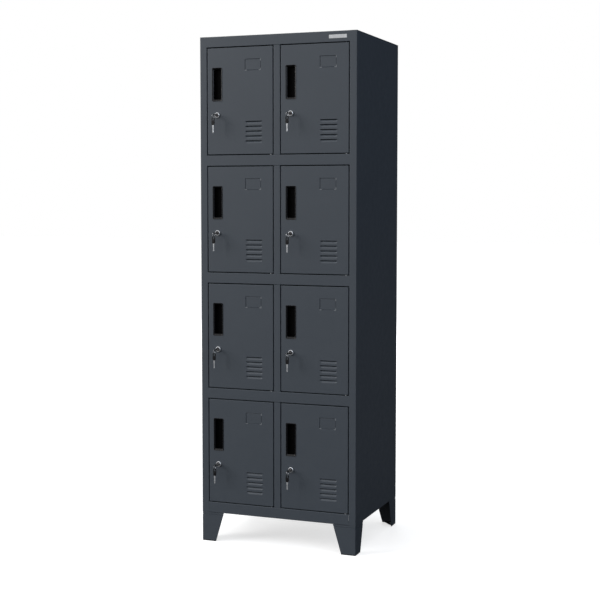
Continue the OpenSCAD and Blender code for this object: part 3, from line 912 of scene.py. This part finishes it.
pin_mesh = finished(hinge_pin())
for tag in TAGS:
    low, high = node_box(f"door_{tag}")
    at = (low.x + HINGE_X, FRONT + HINGE_Y, low.z - DOOR_GAP)
    piece(f"lower_pin_{tag}", pin_mesh, CHROME, "cabinet", ["hinge_pins"], at)
    at = (low.x + HINGE_X, FRONT + HINGE_Y, high.z + DOOR_GAP)
    piece(f"upper_pin_{tag}", pin_mesh, PAINT, "cabinet", (), at, Matrix.Diagonal((1, 1, -1, 1)))



def header_badge():
    """A blank plate on the header, a little smaller in front than at its back."""
    shape = Shape()
    loft(shape, [(-y, outline(BADGE_W / 2 - inset, BADGE_H / 2 - inset, BADGE_R))
                 for y, inset in ((0.0, 0.0), (BADGE_T, BADGE_EDGE))])
    return shape


badge_at = (-STILE_X - BADGE_W / 2 - BADGE_FROM_STILE, FRONT, (HEADER_BOTTOM + ROOF) / 2)
piece("header_badge", finished(header_badge()), BADGE, "cabinet", at=badge_at)

# CAD nodes that stay: their edges get a small round
KEPT = {"back_panel": PAINT, "centre_partition": PAINT, "shelves": PAINT, "foot_glides": PLASTIC,
        "leg_fasteners": STEEL}
for name, material in KEPT.items():
    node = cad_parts[name]
    for place in node.material_slots:
        place.material = material
    weld = node.modifiers.new("weld", "WELD")
    weld.merge_threshold = 0.01 * MM
    edge = node.modifiers.new("edges", "BEVEL")
    edge.width, edge.segments, edge.limit_method, edge.angle_limit = 0.25 * MM, 2, "ANGLE", SHARP_ANGLE
    node.modifiers.new("normals", "WEIGHTED_NORMAL").keep_sharp = True


# ---------------------------------------------------------------- studio, in metres

# The floor and the room look white to the camera, and light the object as a darker floor and room
FLOOR_HALF = 30.0
FLOOR_SEEN, FLOOR_LIT_BY, FLOOR_GLOW = 0.58, 0.07, 0.66
ROOM_TOWARDS = (-0.35, -0.86, 0.37)
ROOM_DIM, ROOM_BRIGHT = (0.046, 0.060, 0.082, 1), (0.60, 0.60, 0.60, 1)
SKY_TILT = (8, -8)
SKY_SPREAD = 100
CAMERA_AT = (1.717, -4.4303, 1.274)
CAMERA_DOWN, CAMERA_TURN = 4.10, 21.13
CAMERA_LENS = 76.2
CAMERA_SHIFT = (-0.001, -0.02)


def area_light(name, at, target, size, watts, colour=(1, 1, 1)):
    """A soft rectangular light at a place in metres, turned to face target."""
    light = bpy.data.lights.new(name, "AREA")
    light.shape, light.size, light.size_y = "RECTANGLE", *size
    light.energy, light.color = watts, colour
    holder = bpy.data.objects.new(name, light)
    bpy.context.scene.collection.objects.link(holder)
    holder.location = at
    holder.rotation_euler = (Vector(target) - Vector(at)).to_track_quat("-Z", "Y").to_euler()


area_light("key", (-12.6, -8.8, 6.4), (0, -0.2, 0.9), (8.0, 7.2), 1720)
area_light("side_box", (5.2, -2.8, 3.5), (0, -0.2, 1.1), (2.4, 3.0), 66, (0.82, 0.93, 1.10))
area_light("back_fill", (-2.8, 7.2, 3.2), (0, 0.2, 0.9), (3.0, 3.0), 190)

sun = bpy.data.lights.new("sky_glow", "SUN")
sun.energy, sun.angle = 1.4, math.radians(SKY_SPREAD)
sun_holder = bpy.data.objects.new("sky_glow", sun)
bpy.context.scene.collection.objects.link(sun_holder)
sun_holder.rotation_euler = (math.radians(SKY_TILT[0]), math.radians(SKY_TILT[1]), 0)


def by_ray(tree, for_camera, for_light=0.0):
    """A number that is for_camera where the camera looks straight at it, and for_light in its light."""
    rays = tree.nodes.new("ShaderNodeLightPath")
    pick = tree.nodes.new("ShaderNodeMapRange")
    pick.inputs["To Min"].default_value = for_light
    pick.inputs["To Max"].default_value = for_camera
    tree.links.new(rays.outputs["Is Camera Ray"], pick.inputs["Value"])
    return pick


# The room is brighter in front of the doors and a little blue behind them, and it shows white
world = bpy.data.worlds.new("studio")
bpy.context.scene.world = world
world.use_nodes = True
tree = world.node_tree
direction = tree.nodes.new("ShaderNodeTexCoord")
facing = tree.nodes.new("ShaderNodeVectorMath")
facing.operation = "DOT_PRODUCT"
facing.inputs[1].default_value = ROOM_TOWARDS
room = tree.nodes.new("ShaderNodeValToRGB")
room.color_ramp.elements[0].color = ROOM_DIM
room.color_ramp.elements[1].color = ROOM_BRIGHT
room.color_ramp.elements[1].position = 0.9
shown = tree.nodes.new("ShaderNodeMixRGB")
shown.inputs["Color2"].default_value = (1, 1, 1, 1)
rays = tree.nodes.new("ShaderNodeLightPath")
tree.links.new(direction.outputs["Generated"], facing.inputs[0])
tree.links.new(facing.outputs["Value"], room.inputs["Fac"])
tree.links.new(rays.outputs["Is Camera Ray"], shown.inputs["Fac"])
tree.links.new(room.outputs["Color"], shown.inputs["Color1"])
tree.links.new(shown.outputs["Color"], tree.nodes["Background"].inputs["Color"])

floor_mesh = bpy.data.meshes.new("floor")
floor_corners = [(x * FLOOR_HALF, y * FLOOR_HALF, 0) for x, y in ((-1, -1), (1, -1), (1, 1), (-1, 1))]
floor_mesh.from_pydata(floor_corners, [], [(0, 1, 2, 3)])
floor = bpy.data.objects.new("floor", floor_mesh)
bpy.context.scene.collection.objects.link(floor)
floor_paint = bpy.data.materials.new("pale_floor")
floor_paint.use_nodes = True
floor_tree = floor_paint.node_tree
floor_shader = floor_tree.nodes["Principled BSDF"]
floor_shader.inputs["Roughness"].default_value = 0.9
floor_shader.inputs["Specular IOR Level"].default_value = 0.0
floor_shader.inputs["Emission Color"].default_value = (1, 1, 1, 1)
floor_tint = by_ray(floor_tree, FLOOR_SEEN, FLOOR_LIT_BY)
floor_glow = by_ray(floor_tree, FLOOR_GLOW)
floor_tree.links.new(floor_tint.outputs["Result"], floor_shader.inputs["Base Color"])
floor_tree.links.new(floor_glow.outputs["Result"], floor_shader.inputs["Emission Strength"])
floor_mesh.materials.append(floor_paint)
floor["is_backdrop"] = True

bpy.context.scene.view_settings.view_transform = "Standard"

camera_data = bpy.data.cameras.new("camera")
camera_data.lens = CAMERA_LENS
camera_data.shift_x, camera_data.shift_y = CAMERA_SHIFT
camera = bpy.data.objects.new("camera", camera_data)
bpy.context.scene.collection.objects.link(camera)
camera.location = CAMERA_AT
camera.rotation_euler = (math.radians(90 - CAMERA_DOWN), 0, math.radians(CAMERA_TURN))
bpy.context.scene.camera = camera

low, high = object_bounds()
